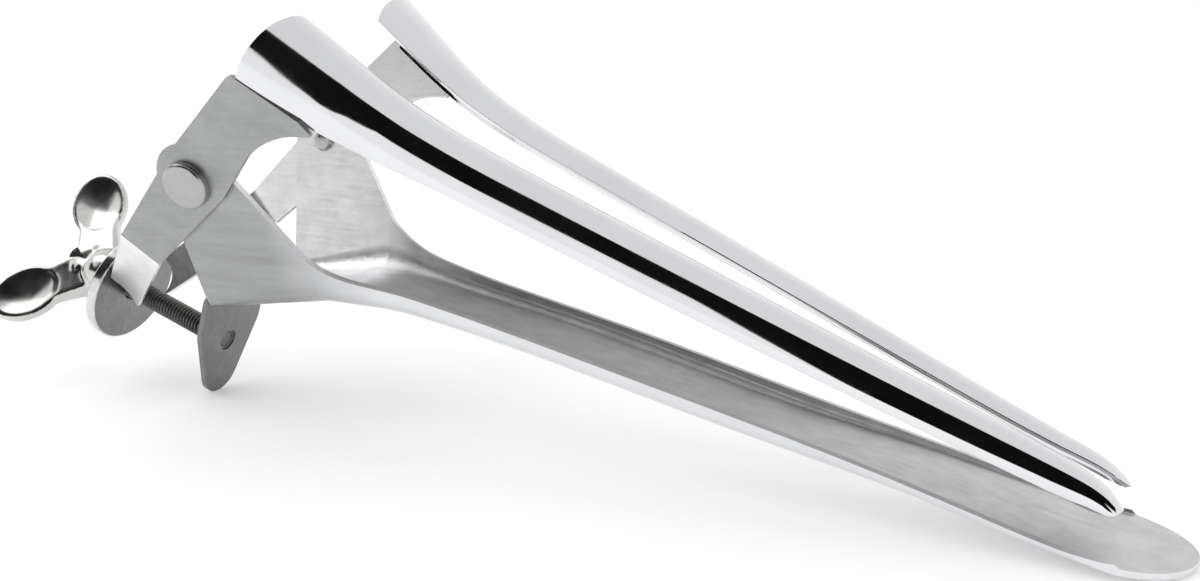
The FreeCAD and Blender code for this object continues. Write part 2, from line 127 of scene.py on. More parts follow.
def newSteel(name, baseColor, roughness):
    material = bpy.data.materials.new(name)
    material.use_nodes = True
    shader = material.node_tree.nodes["Principled BSDF"]
    shader.inputs["Base Color"].default_value = (*baseColor, 1)
    shader.inputs["Metallic"].default_value = 1.0
    shader.inputs["Roughness"].default_value = roughness
    return material, material.node_tree.nodes, material.node_tree.links, shader


def addNode(nodes, kind, **values):
    # values named like sockets set the sockets, the others are settings of the node
    node = nodes.new(kind)
    for key, value in values.items():
        if key in node.inputs:
            node.inputs[key].default_value = value
        else:
            setattr(node, key, value)
    return node


def objectNoise(nodes, links, scale, stretch=(1, 1, 1), turn=(0, 0, 0), detail=3.0, roughness=0.5):
    # noise in object coordinates, stretched along one direction for brushed and rolled metal
    coords = nodes.new("ShaderNodeTexCoord")
    mapping = addNode(nodes, "ShaderNodeMapping", Scale=stretch, Rotation=turn)
    noise = addNode(nodes, "ShaderNodeTexNoise", Scale=scale, Detail=detail, Roughness=roughness)
    links.new(coords.outputs["Object"], mapping.inputs["Vector"])
    links.new(mapping.outputs["Vector"], noise.inputs["Vector"])
    return noise.outputs["Fac"]


def alongObject(nodes, links):
    # the position down the part, in m
    coords = nodes.new("ShaderNodeTexCoord")
    split = nodes.new("ShaderNodeSeparateXYZ")
    links.new(coords.outputs["Object"], split.inputs["Vector"])
    return split.outputs["X"]


def spread(nodes, links, value, fromMin, fromMax, toMin, toMax):
    node = addNode(nodes, "ShaderNodeMapRange", clamp=True)
    for name, amount in (("From Min", fromMin), ("From Max", fromMax), ("To Min", toMin), ("To Max", toMax)):
        node.inputs[name].default_value = amount
    links.new(value, node.inputs["Value"])
    return node.outputs["Result"]


def mixColors(nodes, links, factor, first, second):
    mix = addNode(nodes, "ShaderNodeMix", data_type="RGBA")
    links.new(factor, mix.inputs["Factor"])
    for socket, value in ((mix.inputs[6], first), (mix.inputs[7], second)):
        if hasattr(value, "is_output"):
            links.new(value, socket)
        else:
            socket.default_value = (*value, 1)
    return mix.outputs[2]


def mixValues(nodes, links, factor, first, second):
    mix = addNode(nodes, "ShaderNodeMix", data_type="FLOAT")
    links.new(factor, mix.inputs["Factor"])
    for socket, value in ((mix.inputs[2], first), (mix.inputs[3], second)):
        if hasattr(value, "is_output"):
            links.new(value, socket)
        else:
            socket.default_value = value
    return mix.outputs[0]


def addBump(nodes, links, shader, height, strength, distance, below=None):
    bump = addNode(nodes, "ShaderNodeBump", Strength=strength, Distance=distance)
    links.new(height, bump.inputs["Height"])
    if below is not None:
        links.new(below, bump.inputs["Normal"])
    links.new(bump.outputs["Normal"], shader.inputs["Normal"])
    return bump.outputs["Normal"]


bladeFinish = {
    "polished": (0.80, 0.805, 0.82),
    "polishedRoughness": (0.05, 0.11),
    "satin": (0.43, 0.435, 0.44),
    "satinRoughness": (0.30, 0.42),
    "grainTurn": (0, math.radians(23.4), 0),  # the rolling marks run down the blade
}


def bladeSteel(name, finish, satinBehind=None, edge=0.006):
    # polished sheet steel; behind the plane x = satinBehind it is left satin from the belt
    material, nodes, links, shader = newSteel(name, finish["polished"], 0.08)
    smudge = objectNoise(nodes, links, 38, detail=4)
    grain = objectNoise(nodes, links, 260, (0.06, 1, 1), finish["grainTurn"], detail=4, roughness=0.65)
    hair = objectNoise(nodes, links, 900, (0.025, 1, 1), (0.3, math.radians(60), 0.2), detail=2)
    polishedTone = mixColors(nodes, links, spread(nodes, links, smudge, 0.3, 0.7, 0, 1),
                             finish["polished"], tuple(c * 0.93 for c in finish["polished"]))
    satinTone = mixColors(nodes, links, spread(nodes, links, grain, 0.3, 0.7, 0, 1),
                          finish["satin"], tuple(c * 0.80 for c in finish["satin"]))
    polishedRough = spread(nodes, links, smudge, 0.35, 0.7, *finish["polishedRoughness"])
    satinRough = spread(nodes, links, grain, 0.3, 0.7, *finish["satinRoughness"])
    scratch = spread(nodes, links, hair, 0.70, 0.76, 0, 0.10)
    if satinBehind is None:
        color, rough = polishedTone, polishedRough
    else:
        mask = spread(nodes, links, alongObject(nodes, links), satinBehind - edge, satinBehind + edge, 0, 1)
        color = mixColors(nodes, links, mask, satinTone, polishedTone)
        rough = mixValues(nodes, links, mask, satinRough, polishedRough)
    add = addNode(nodes, "ShaderNodeMath", operation="ADD")
    links.new(rough, add.inputs[0])
    links.new(scratch, add.inputs[1])
    links.new(color, shader.inputs["Base Color"])
    links.new(add.outputs[0], shader.inputs["Roughness"])
    wave = addBump(nodes, links, shader, smudge, 0.05, 0.0004)
    addBump(nodes, links, shader, grain, 0.05, 0.00004, wave)
    return material


def satinSteel(name, tone, roughness, scale=260, stretch=(0.06, 1, 1), turn=(0, 0, 0), bump=0.08,
               streak=0.92, cloudy=0.86, along=None):
    # a brushed or tumbled finish; along lists (x in m, tone) where the tone changes down the part, which
    # paints light and shade onto it
    material, nodes, links, shader = newSteel(name, tone, sum(roughness) / 2)
    grain = objectNoise(nodes, links, scale, stretch, turn, detail=4, roughness=0.65)
    cloud = objectNoise(nodes, links, 150, detail=5, roughness=0.6)
    if along is not None:
        ramp = nodes.new("ShaderNodeValToRGB")
        low, high = along[0][0], along[-1][0]
        while len(ramp.color_ramp.elements) < len(along):
            ramp.color_ramp.elements.new(0.5)
        for stop, (x, shade) in zip(ramp.color_ramp.elements, along):
            stop.position = (x - low) / (high - low)
            stop.color = (shade, shade, shade * 1.012, 1)
        links.new(spread(nodes, links, alongObject(nodes, links), low, high, 0, 1), ramp.inputs["Fac"])
    lines = mixColors(nodes, links, spread(nodes, links, grain, 0.3, 0.7, 0, 1), (1, 1, 1), (streak,) * 3)
    clouds = mixColors(nodes, links, spread(nodes, links, cloud, 0.35, 0.7, 0, 1), (1, 1, 1), (cloudy,) * 3)
    marks = addNode(nodes, "ShaderNodeMix", data_type="RGBA", blend_type="MULTIPLY")
    marks.inputs["Factor"].default_value = 1
    links.new(lines, marks.inputs[6])
    links.new(clouds, marks.inputs[7])
    color = addNode(nodes, "ShaderNodeMix", data_type="RGBA", blend_type="MULTIPLY")
    color.inputs["Factor"].default_value = 1
    links.new(marks.outputs[2], color.inputs[6])
    if along is None:
        color.inputs[7].default_value = (*tone, 1)
    else:
        links.new(ramp.outputs["Color"], color.inputs[7])
    links.new(color.outputs[2], shader.inputs["Base Color"])
    links.new(spread(nodes, links, grain, 0.3, 0.7, *roughness), shader.inputs["Roughness"])
    addBump(nodes, links, shader, grain, bump, 0.00005)
    return material


upperSteel = bladeSteel("upper_blade_steel", bladeFinish)
lowerSteel = bladeSteel("lower_blade_steel", dict(bladeFinish, satin=(0.42, 0.425, 0.43)),
                        satinBehind=-0.040, edge=0.014)
# the flat outer faces, the inner ones with a painted brighter sheen standing in for reflected light, the
# trough, and the tongue painted darker for its dark reflection
armSteel = satinSteel("arm_steel", (0.40, 0.405, 0.41), (0.30, 0.44), scale=1100, stretch=(0.08, 1, 1),
                      turn=(0, math.radians(48), 0), bump=0.05)
paintedSheenSteel = satinSteel("inner_face_painted_sheen", (0.95, 0.953, 0.957), (0.30, 0.44), scale=1100,
                        stretch=(0.08, 1, 1), turn=(0, math.radians(48), 0), bump=0.04, cloudy=0.9)
# the trough's inside; its tone down the part is painted reflection, brightest on the ears' inner faces and
# rising again towards the tip
troughSteel = satinSteel("trough_steel", (0.44, 0.445, 0.45), (0.32, 0.46), scale=900, stretch=(0.04, 1, 1),
                         turn=(0, math.radians(12), 0), bump=0.04,
                         along=[(-0.06, 0.95), (-0.046, 0.84), (-0.037, 0.40), (-0.024, 0.36),
                                (0.02, 0.46), (0.09, 0.64), (0.15, 0.70)])
# the tongue's darker tone is painted, standing in for the dark surroundings it reflects
paintedDarkTongueSteel = satinSteel("tongue_painted_dark_steel", (0.25, 0.25, 0.255), (0.30, 0.46), scale=900,
                         stretch=(1, 1, 0.08), bump=0.05)
rivetSteel = satinSteel("rivet_steel", (0.46, 0.46, 0.46), (0.18, 0.28), scale=900, stretch=(1, 1, 1),
                        bump=0.02, streak=0.97, cloudy=0.92)
screwSteel = satinSteel("screw_steel", (0.20, 0.195, 0.19), (0.30, 0.46), scale=500, stretch=(1, 1, 1),
                        streak=0.8)
# the disc's front is painted dark for the dark reflection it shows, and its rim bright as a painted highlight
paintedDarkWasherSteel = satinSteel("washer_steel", (0.27, 0.27, 0.275), (0.22, 0.36), scale=700, stretch=(1, 1, 0.2))
paintedRimHighlight = satinSteel("washer_rim_painted_highlight", (0.78, 0.78, 0.78), (0.10, 0.20), scale=500, stretch=(1, 1, 1),
                       streak=0.9)
nutChrome = satinSteel("nut_chrome", (0.72, 0.71, 0.695), (0.10, 0.22), scale=160, stretch=(1, 1, 1),
                       bump=0.10, streak=0.88)
print("materials made")


def between(stations, key, share):
    # smooth value at a share of the blade's length, from the stations' own slopes
    n = len(stations)
    i = max(k for k in range(n - 1) if stations[k]["share"] <= share or k == 0)

    def slope(k):
        low, high = max(k - 1, 0), min(k + 1, n - 1)
        return (stations[high][key] - stations[low][key]) / (stations[high]["share"] - stations[low]["share"])

    start, end = stations[i], stations[i + 1]
    span = end["share"] - start["share"]
    t = (share - start["share"]) / span
    return ((2 * t**3 - 3 * t**2 + 1) * start[key] + (t**3 - 2 * t**2 + t) * span * slope(i)
            + (3 * t**2 - 2 * t**3) * end[key] + (t**3 - t**2) * span * slope(i + 1))


upperBlade = {
    "sheet": 1.5,
    "rootX": 47.2,
    "tipX": 238.3,
    "rollIn": -43.0,
    "rootRound": 2.8,    # how far the outer corner of the root is rounded back
    "rootInnerRound": 2.5,
    "tipRound": 2.5,
    "tipInnerRound": 3.0,
    "outerFrom": 0.45,   # shares of the way round the roll where these roundings start
    "tipFrom": 0.7,
    "innerUpTo": 0.22,
    "rootCurve": 1.7,
    "alongSteps": 170,
    "aroundSteps": 40,
    "rimRound": 0.45,
    "stations": [
        dict(share=0.0, y=21.2, z=95.6, r=13.4, fall=42.0, roll=105.0),
        dict(share=0.0356, y=19.9, z=91.0, r=12.8, fall=40.5, roll=105.0),
        dict(share=0.0774, y=18.4, z=85.9, r=11.8, fall=38.0, roll=105.0),
        dict(share=0.1193, y=16.9, z=81.1, r=10.7, fall=35.0, roll=104.0),
        dict(share=0.1716, y=15.4, z=75.6, r=9.8, fall=31.0, roll=101.0),
        dict(share=0.2449, y=13.9, z=69.0, r=9.15, fall=26.0, roll=96.0),
        dict(share=0.3391, y=12.7, z=61.6, r=8.6, fall=23.6, roll=95.0),
        dict(share=0.5379, y=10.3, z=46.2, r=7.7, fall=23.4, roll=95.0),
        dict(share=0.7473, y=7.5, z=30.1, r=6.6, fall=23.4, roll=95.0),
        dict(share=0.8624, y=5.9, z=21.5, r=5.8, fall=23.4, roll=96.0),
        dict(share=0.9252, y=5.4, z=17.2, r=5.0, fall=25.0, roll=102.0),
        dict(share=0.9665, y=5.6, z=14.6, r=4.1, fall=31.0, roll=112.0),
        dict(share=0.9869, y=5.9, z=12.9, r=3.3, fall=45.0, roll=118.0),
        dict(share=1.0, y=6.3, z=11.2, r=2.6, fall=66.0, roll=120.0),
    ],
}

arm = {
    "pivot": (26.5, -25.7, 66.6),
    "forwards": (0.99700, 0.07481, 0.02011),
    "upwards": (0.0, -0.25960, 0.96572),
    "outwards": (0.07747, -0.96281, -0.25882),
    "inside": 1.65,      # gap from the ear's inner face, the sheet starts here
    "outline": [         # forwards, upwards, corner radius
        (20.4, 28.5, 2.0), (-1.5, 9.4, 90.0), (-46.1, -36.7, 0.8), (-40.3, -41.2, 6.0), (-43.2, -48.0, 0.8),
        (-16.0, -23.2, 30.0), (8.8, -3.9, 14.0), (24.4, 13.4, 20.0), (38.5, 13.4, 0.6), (35.6, 17.2, 0.6),
    ],
    "foldAt": (-24.5, -17.0),
    "foldLine": -42.0,
    "foldAngle": 22.5,
    "foldRadius": 4.0,
    "foldSteps": 10,
    "edgeRound": 0.3,
    "inwardBelow": -0.3,  # a face that looks this far from outwards gets the painted brighter sheen
    "fingerFrom": -0.4,  # and so has all that lies this far past the fold
}


def sheetFromGrid(bm):
    # gives a flat face region a second side at z = -1 and closes the rim between them
    grown = bmesh.ops.extrude_face_region(bm, geom=bm.faces[:], use_keep_orig=True)
    lower = [item for item in grown["geom"] if isinstance(item, bmesh.types.BMVert)]
    bmesh.ops.translate(bm, vec=(0, 0, -1), verts=lower)


def roundRims(bm, radius, segments, sharperThan=50.0):
    bmesh.ops.recalc_face_normals(bm, faces=bm.faces)
    rims = [edge for edge in bm.edges
            if edge.is_manifold and edge.calc_face_angle() > math.radians(sharperThan)]
    bmesh.ops.bevel(bm, geom=rims, offset=radius * mm, offset_type="OFFSET", segments=segments,
                    profile=0.5, affect="EDGES", material=-1, clamp_overlap=True)


def rolledSheet(settings):
    # a flat grid rolled up: its X runs down the blade and its Y round the roll
    bm = bmesh.new()
    bmesh.ops.create_grid(bm, x_segments=settings["alongSteps"], y_segments=settings["aroundSteps"], size=0.5)
    sheetFromGrid(bm)
    stations = settings["stations"]
    length = settings["tipX"] - settings["rootX"]
    for vert in bm.verts:
        share, around = vert.co.x + 0.5, vert.co.y + 0.5
        outer = max(0.0, (around - settings["outerFrom"]) / (1 - settings["outerFrom"]))
        atTip = max(0.0, (around - settings["tipFrom"]) / (1 - settings["tipFrom"]))
        inner = max(0.0, (settings["innerUpTo"] - around) / settings["innerUpTo"])
        rootCut = settings["rootRound"] * outer**settings["rootCurve"] + settings["rootInnerRound"] * inner**2
        tipCut = settings["tipRound"] * atTip**2 + settings["tipInnerRound"] * inner**2
        rootCut, tipCut = rootCut / length, tipCut / length
        share = min(max(rootCut + share * (1 - rootCut - tipCut), 0.0), 1.0)
        y, z, r, fall, roll = (between(stations, key, share) for key in ("y", "z", "r", "fall", "roll"))
        angle = math.radians(settings["rollIn"] + (roll - settings["rollIn"]) * around)
        fall = math.radians(fall)
        r += vert.co.z * settings["sheet"]
        normal = Vector((math.sin(fall), 0, math.cos(fall)))
        centre = Vector((settings["rootX"] + share * length, -y, z))
        place = centre + normal * (r * math.cos(angle)) + Vector((0, -1, 0)) * (r * math.sin(angle))
        vert.co = fromDrawing(*place)
    roundRims(bm, settings["rimRound"], 3)
    return bm


def awayFromFold(settings):
    foldLine = math.radians(settings["foldLine"])
    return Vector((math.sin(foldLine), -math.cos(foldLine)))


def bentArm(settings, sheet):
    # the flat outline with its corners rounded, cut across where it bends, made thick and folded
    bm = bmesh.new()
    points = settings["outline"]
    corners = [bm.verts.new((u, v, 0)) for u, v, radius in points]
    bm.faces.new(corners)
    for i, vert in enumerate(corners):
        radius = points[i][2]
        if radius == 0:
            continue
        here = Vector(points[i][:2])
        toLast = (Vector(points[i - 1][:2]) - here).normalized()
        toNext = (Vector(points[(i + 1) % len(points)][:2]) - here).normalized()
        half = toLast.angle(toNext) / 2
        bmesh.ops.bevel(bm, geom=[vert], offset=radius / math.tan(half), offset_type="OFFSET",
                        segments=10, profile=0.5, affect="VERTICES", material=-1, clamp_overlap=False)
    away, foldAt = awayFromFold(settings), Vector(settings["foldAt"])
    inner, bend = settings["foldRadius"], math.radians(settings["foldAngle"])
    start = -(inner + sheet / 2) * math.tan(bend / 2)
    for i in range(settings["foldSteps"] + 1):
        spot = foldAt + away * (start + (inner + sheet) * math.sin(bend * i / settings["foldSteps"]))
        bmesh.ops.bisect_plane(bm, geom=bm.verts[:] + bm.edges[:] + bm.faces[:], dist=1e-5,
                               plane_co=(spot.x, spot.y, 0), plane_no=(away.x, away.y, 0))
    sheetFromGrid(bm)
    pivot = Vector(settings["pivot"])
    axes = [Vector(settings[key]) for key in ("forwards", "upwards", "outwards")]
    for vert in bm.verts:
        spot = Vector((vert.co.x, vert.co.y))
        radius = inner + (1 + vert.co.z) * sheet
        run = (spot - foldAt).dot(away) - start
        drop = 0.0
        if run > 0:
            inArc = min(run, radius * math.sin(bend))
            drop = radius - math.sqrt(radius * radius - inArc * inArc) + (run - inArc) * math.tan(bend)
        level = settings["inside"] + (1 + vert.co.z) * sheet - drop
        vert.co = fromDrawing(*(pivot + axes[0] * spot.x + axes[1] * spot.y + axes[2] * level))
    roundRims(bm, settings["edgeRound"], 2)
    return bm


def makeUpperBlade(side, body):
    # the right blade as drawn, or its mirror image
    shell = rolledSheet(upperBlade)
    plate = bentArm(arm, upperBlade["sheet"])
    pivot, forwards, upwards, outwards = (
        Vector(arm[key]) for key in ("pivot", "forwards", "upwards", "outwards"))
    for face in plate.faces:
        reach = Vector(face.calc_center_median() / mm + partOrigin) - pivot
        flat = Vector((reach.dot(forwards), reach.dot(upwards)))
        onFinger = (flat - Vector(arm["foldAt"])).dot(awayFromFold(arm)) > arm["fingerFrom"]
        # the finger and the faces turned inwards get a painted sheen, brighter to stand in for the light they
        # reflect
        face.material_index = 2 if onFinger or face.normal.dot(outwards) < arm["inwardBelow"] else 1
    joined = bpy.data.meshes.new("arm")
    plate.to_mesh(joined)
    plate.free()
    shell.from_mesh(joined)
    if side == "left":
        bmesh.ops.scale(shell, vec=(1, -1, 1), verts=shell.verts)
    piece = finishMesh(shell, "long_blade_" + side, body, (upperSteel, armSteel, paintedSheenSteel))
    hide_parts("upper_blade_" + side)


makeUpperBlade("right", "right_blade")
makeUpperBlade("left", "left_blade")
print("upper blades made")


lowerBlade = {
    "edgeRound": 0.3,
    "mergeAngle": 0.4,
    "rimAngle": 55.0,
    "upwardsFrom": 0.4,     # how far up a face looks that belongs to the trough's inside
    "wallFrom": -0.2,       # and how far down one of its walls may look
    "tongueBehind": -82.5,  # mm along the part
    "tongueBelow": 29.5,
}


def makeLowerBlade(settings):
    # the node's own shape with its edges rounded off and each face given its material, the tongue's one
    # painted darker
    bm = bmesh.new()
    bm.from_mesh(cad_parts["lower_blade"].data)
    bmesh.ops.remove_doubles(bm, verts=bm.verts, dist=mergeDistance)
    bmesh.ops.dissolve_limit(bm, angle_limit=math.radians(settings["mergeAngle"]), verts=bm.verts,
                             edges=bm.edges, use_dissolve_boundaries=False)
    bmesh.ops.triangulate(bm, faces=[face for face in bm.faces if len(face.verts) > 4])
    roundRims(bm, settings["edgeRound"], 2, settings["rimAngle"])
    for face in bm.faces:
        middle = face.calc_center_median()
        wall = face.normal.y * middle.y < -1e-9 and face.normal.z > settings["wallFrom"]
        face.material_index = 1 if wall or face.normal.z > settings["upwardsFrom"] else 0
        # faces of the tongue get the painted dark tone
        if middle.x < settings["tongueBehind"] * mm and middle.z < settings["tongueBelow"] * mm:
            face.material_index = 2
    piece = finishMesh(bm, "trough_blade", "frame", (lowerSteel, troughSteel, paintedDarkTongueSteel))
    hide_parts("lower_blade")


makeLowerBlade(lowerBlade)
print("lower blade made")


rivets = {
    "headRadius": 6.0,
    "headEdge": 1.0,
    "crown": 0.06,       # the head's face drops this much before its edge
    "crownWidth": 0.6,
    "headHeight": 2.2,
    "shankRadius": 2.5,
    "tailRadius": 3.0,
    "tailHeight": 1.2,
    "tailEdge": 0.9,
    "under": 3.15,       # underside of the head, out from the ear's inner face
}


def makeRivet(s, side):
    top = s["under"] + s["headHeight"]
    outline = [(0, top), (s["headRadius"] - s["headEdge"] - s["crownWidth"], top - s["crown"])]
    outline += roundedCorner((s["headRadius"] - s["headEdge"], top - s["headEdge"]), s["headEdge"], 80, 0)
    outline += [(s["headRadius"], s["under"] + 0.3), (s["headRadius"] - 0.2, s["under"]),
                (s["shankRadius"], s["under"]), (s["shankRadius"], 0), (s["tailRadius"], 0)]
    tail = (s["tailRadius"] - s["tailEdge"], s["tailEdge"] - s["tailHeight"])
    outline += roundedCorner(tail, s["tailEdge"], 0, -70)
    outline += [(0, -s["tailHeight"])]
    bm = turnProfile(outline, 72)
    pivot = fromDrawing(*arm["pivot"])
    place = placeAt(pivot, Vector(arm["outwards"]), Vector(arm["forwards"]))
    bmesh.ops.transform(bm, matrix=place, verts=bm.verts)
    if side == "left":
        bmesh.ops.scale(bm, vec=(1, -1, 1), verts=bm.verts)
    piece = finishMesh(bm, "rivet_" + side, "frame", [rivetSteel])
    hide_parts("pivot_rivet_" + side)


for side in ("right", "left"):
    makeRivet(rivets, side)
print("rivets made")


screw = {
    "eye": (8.8, 0.0, 15.2),
    "back": (-0.944949, 0.0, 0.327218),
    "upward": (0.327218, 0.0, 0.944949),
    "crest": 2.98,
    "root": 2.42,
    "pitch": 1.0,
    "threadForm": [("root", 0), ("root", 0.16), ("crest", 0.46), ("crest", 0.64), ("root", 1.0)],
    "stepsPerTurn": 28,
    "foot": 1.5,         # the shoulder stands on the back of the tongue
    "threadFrom": 3.0,
    "length": 55.9,
    "chamfer": 0.7,
    "spigot": 2.3,
    "spigotFront": 0.62,
}
screwPlace = placeAt(fromDrawing(*screw["eye"]), Vector(screw["back"]), Vector(screw["upward"]))


def makeScrew(s):
    # one turn of the thread's outline is spun up the rod, then both ends are cut square
    bm = bmesh.new()
    turns = int((s["length"] - s["threadFrom"]) / s["pitch"]) + 3
    low = s["threadFrom"] - s["pitch"]
    verts = [bm.verts.new((s[key] * mm, 0, (low + z * s["pitch"]) * mm)) for key, z in s["threadForm"]]
    edges = [bm.edges.new(pair) for pair in zip(verts, verts[1:])]
    bmesh.ops.spin(bm, geom=verts + edges, cent=(0, 0, 0), axis=(0, 0, 1),
                   dvec=(0, 0, s["pitch"] * mm / s["stepsPerTurn"]), angle=2 * math.pi * turns,
                   steps=turns * s["stepsPerTurn"], use_merge=False)
    bmesh.ops.remove_doubles(bm, verts=bm.verts, dist=5e-6)
    for height, clearUp in ((s["threadFrom"], False), (s["length"], True)):
        cut = bmesh.ops.bisect_plane(bm, geom=bm.verts[:] + bm.edges[:] + bm.faces[:], dist=1e-7,
                                     plane_co=(0, 0, height * mm), plane_no=(0, 0, 1),
                                     clear_outer=clearUp, clear_inner=not clearUp)
        loop = [item for item in cut["geom_cut"] if isinstance(item, bmesh.types.BMEdge)]
        bmesh.ops.edgeloop_fill(bm, edges=loop)
    for vert in bm.verts:
        spare = (s["length"] * mm - vert.co.z) + (s["crest"] - s["chamfer"]) * mm
        reach = math.hypot(vert.co.x, vert.co.y)
        if reach > spare:
            vert.co.x *= spare / reach
            vert.co.y *= spare / reach
    thread = bpy.data.meshes.new("thread")
    bm.to_mesh(thread)
    bm.free()
    shank = turnProfile([(0, s["spigotFront"]), (s["spigot"] - 0.25, s["spigotFront"]),
                         (s["spigot"], s["spigotFront"] + 0.2), (s["spigot"], s["foot"] + 0.01),
                         (s["crest"], s["foot"] + 0.01), (s["crest"], s["threadFrom"] - 0.3),
                         (s["root"], s["threadFrom"] + 0.2), (0, s["threadFrom"] + 0.2)], 48)
    shank.from_mesh(thread)
    bmesh.ops.transform(shank, matrix=screwPlace, verts=shank.verts)
    piece = finishMesh(shank, "threaded_rod", "frame", [screwSteel], smoothAngle=30)
    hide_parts("screw")


makeScrew(screw)
print("screw made")


washer = {
    "front": 33.6,
    "thickness": 3.0,
    "radius": 15.2,
    "hole": 3.3,
    "holeEdge": 0.3,
    "edge": 0.55,
}


def makeWasher(s):
    back = s["front"] + s["thickness"]
    hole, bevelled = s["hole"], s["hole"] + s["holeEdge"]
    outline = [(hole, s["front"] + s["holeEdge"]), (bevelled, s["front"])]
    outline += roundedCorner((s["radius"] - s["edge"], s["front"] + s["edge"]), s["edge"], -90, 0)
    outline += roundedCorner((s["radius"] - s["edge"], back - s["edge"]), s["edge"], 0, 90)
    outline += [(bevelled, back), (hole, back - s["holeEdge"]), outline[0]]
    bm = turnProfile(outline, 128)
    # the rounded rim gets the painted highlight, the rest the painted dark tone
    for face in bm.faces:
        middle = face.calc_center_median()
        if math.hypot(middle.x, middle.y) > (s["radius"] - s["edge"] * 1.05) * mm:
            face.material_index = 1
    bmesh.ops.transform(bm, matrix=screwPlace, verts=bm.verts)
    piece = finishMesh(bm, "thrust_disc", "washer", (paintedDarkWasherSteel, paintedRimHighlight))
    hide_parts("thrust_washer")


makeWasher(washer)
print("washer made")


wingNut = {
    "front": 36.8,
    "hub": [(0, 36.8), (6.4, 36.8), (6.6, 39.0), (7.0, 42.0), (6.6, 45.0), (5.4, 47.6), (4.8, 48.4),
            (0, 48.4)],
    "bore": 3.06,
    "pads": [            # centre, then the directions along, across and through the pad
        ((-44.178, 11.815, 44.963), (-0.43838, 0.56569, 0.69844), (-0.86570, -0.47467, -0.15891),
         (0.24164, -0.67430, 0.69780)),
        ((-51.238, -11.815, 24.573), (-0.77642, -0.56569, -0.27778), (-0.58205, 0.47467, 0.66024),
         (-0.24164, 0.67430, -0.69780)),
    ],
    "padLength": 10.6,
    "padWidth": 8.1,
    "padThick": 3.0,
    "neckWidth": 13.0,
    "neckThick": 6.8,
    "neckLength": 19.0,
    "neckStart": 2.5,    # inwards from the pad's centre
    "taperFrom": -9.0,   # beyond this the neck thins towards the pad
    "taper": (0.8, 0.42),
    "dish": 0.9,
    "dishEdge": 0.84,    # share of the pad that is dished
    "drill": (30, 60),
    "voxel": 0.36,
    "smoothing": 24,
}


def makeWingNut(s):
    # hub, necks and pads are run together as in a casting, the dishes pressed in and the bore drilled
    bm = turnProfile(s["hub"], 64)
    bmesh.ops.transform(bm, matrix=screwPlace, verts=bm.verts)
    bmesh.ops.recalc_face_normals(bm, faces=bm.faces)
    frames = []
    for centre, along, across, through in s["pads"]:
        turn = Matrix((Vector(along), Vector(across), Vector(through))).transposed().to_4x4()
        place = Matrix.Translation(fromDrawing(*centre)) @ turn
        frames.append(place)
        size = Matrix.Diagonal((s["padLength"] * mm, s["padWidth"] * mm, s["padThick"] * mm, 1))
        bmesh.ops.create_cone(bm, cap_ends=True, segments=64, radius1=1, radius2=1, depth=1,
                              matrix=place @ size)
        middle = Matrix.Translation((-(s["neckLength"] / 2 + s["neckStart"]) * mm, 0, 0))
        size = Matrix.Diagonal((s["neckLength"] * mm, s["neckWidth"] * mm, s["neckThick"] * mm, 1))
        neck = bmesh.ops.create_cube(bm, size=1, matrix=place @ middle @ size)
        for vert in neck["verts"]:
            local = place.inverted() @ vert.co
            if local.x > s["taperFrom"] * mm:
                local.y *= s["taper"][0]
                local.z *= s["taper"][1]
            vert.co = place @ local
    rough = newObject("casting", bm)
    remesh = rough.modifiers.new("casting", "REMESH")
    remesh.mode = "VOXEL"
    remesh.voxel_size = s["voxel"] * mm
    remesh.adaptivity = 0
    bm = withModifiers(rough)
    for place in frames:
        back = place.inverted()
        for vert in bm.verts:
            local = back @ vert.co
            oval = math.hypot(local.x / (s["padLength"] * mm), local.y / (s["padWidth"] * mm))
            if oval < s["dishEdge"] and abs(local.z) < s["neckThick"] * mm:
                fade = 1 - (oval / s["dishEdge"]) ** 2
                keep = (s["padThick"] / 2 - s["dish"] * fade) * mm
                local.z = math.copysign(min(abs(local.z), keep), local.z)
                vert.co = place @ local
    for i in range(s["smoothing"]):
        bmesh.ops.smooth_vert(bm, verts=bm.verts, factor=0.5, use_axis_x=True, use_axis_y=True,
                              use_axis_z=True)
    frontPlane = screwPlace @ Vector((0, 0, s["front"] * mm))
    cut = bmesh.ops.bisect_plane(bm, geom=bm.verts[:] + bm.edges[:] + bm.faces[:], dist=1e-7,
                                 plane_co=frontPlane, plane_no=Vector(screw["back"]), clear_inner=True)
    loop = [item for item in cut["geom_cut"] if isinstance(item, bmesh.types.BMEdge)]
    bmesh.ops.edgeloop_fill(bm, edges=loop)
    blank = newObject("nut", bm)
    low, high = s["drill"]
    drill = turnProfile([(0, low), (s["bore"], low), (s["bore"], high), (0, high)], 64)
    bmesh.ops.transform(drill, matrix=screwPlace, verts=drill.verts)
    bmesh.ops.recalc_face_normals(drill, faces=drill.faces)
    drillBit = newObject("drill", drill)
    bore = blank.modifiers.new("bore", "BOOLEAN")
    bore.operation = "DIFFERENCE"
    bore.solver = "EXACT"
    bore.object = drillBit
    bm = withModifiers(blank)
    bpy.data.objects.remove(drillBit)
    piece = finishMesh(bm, "winged_nut", "nut", [nutChrome], smoothAngle=40, weighted=False)
    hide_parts("wing_nut")


makeWingNut(wingNut)
print("wing nut made")


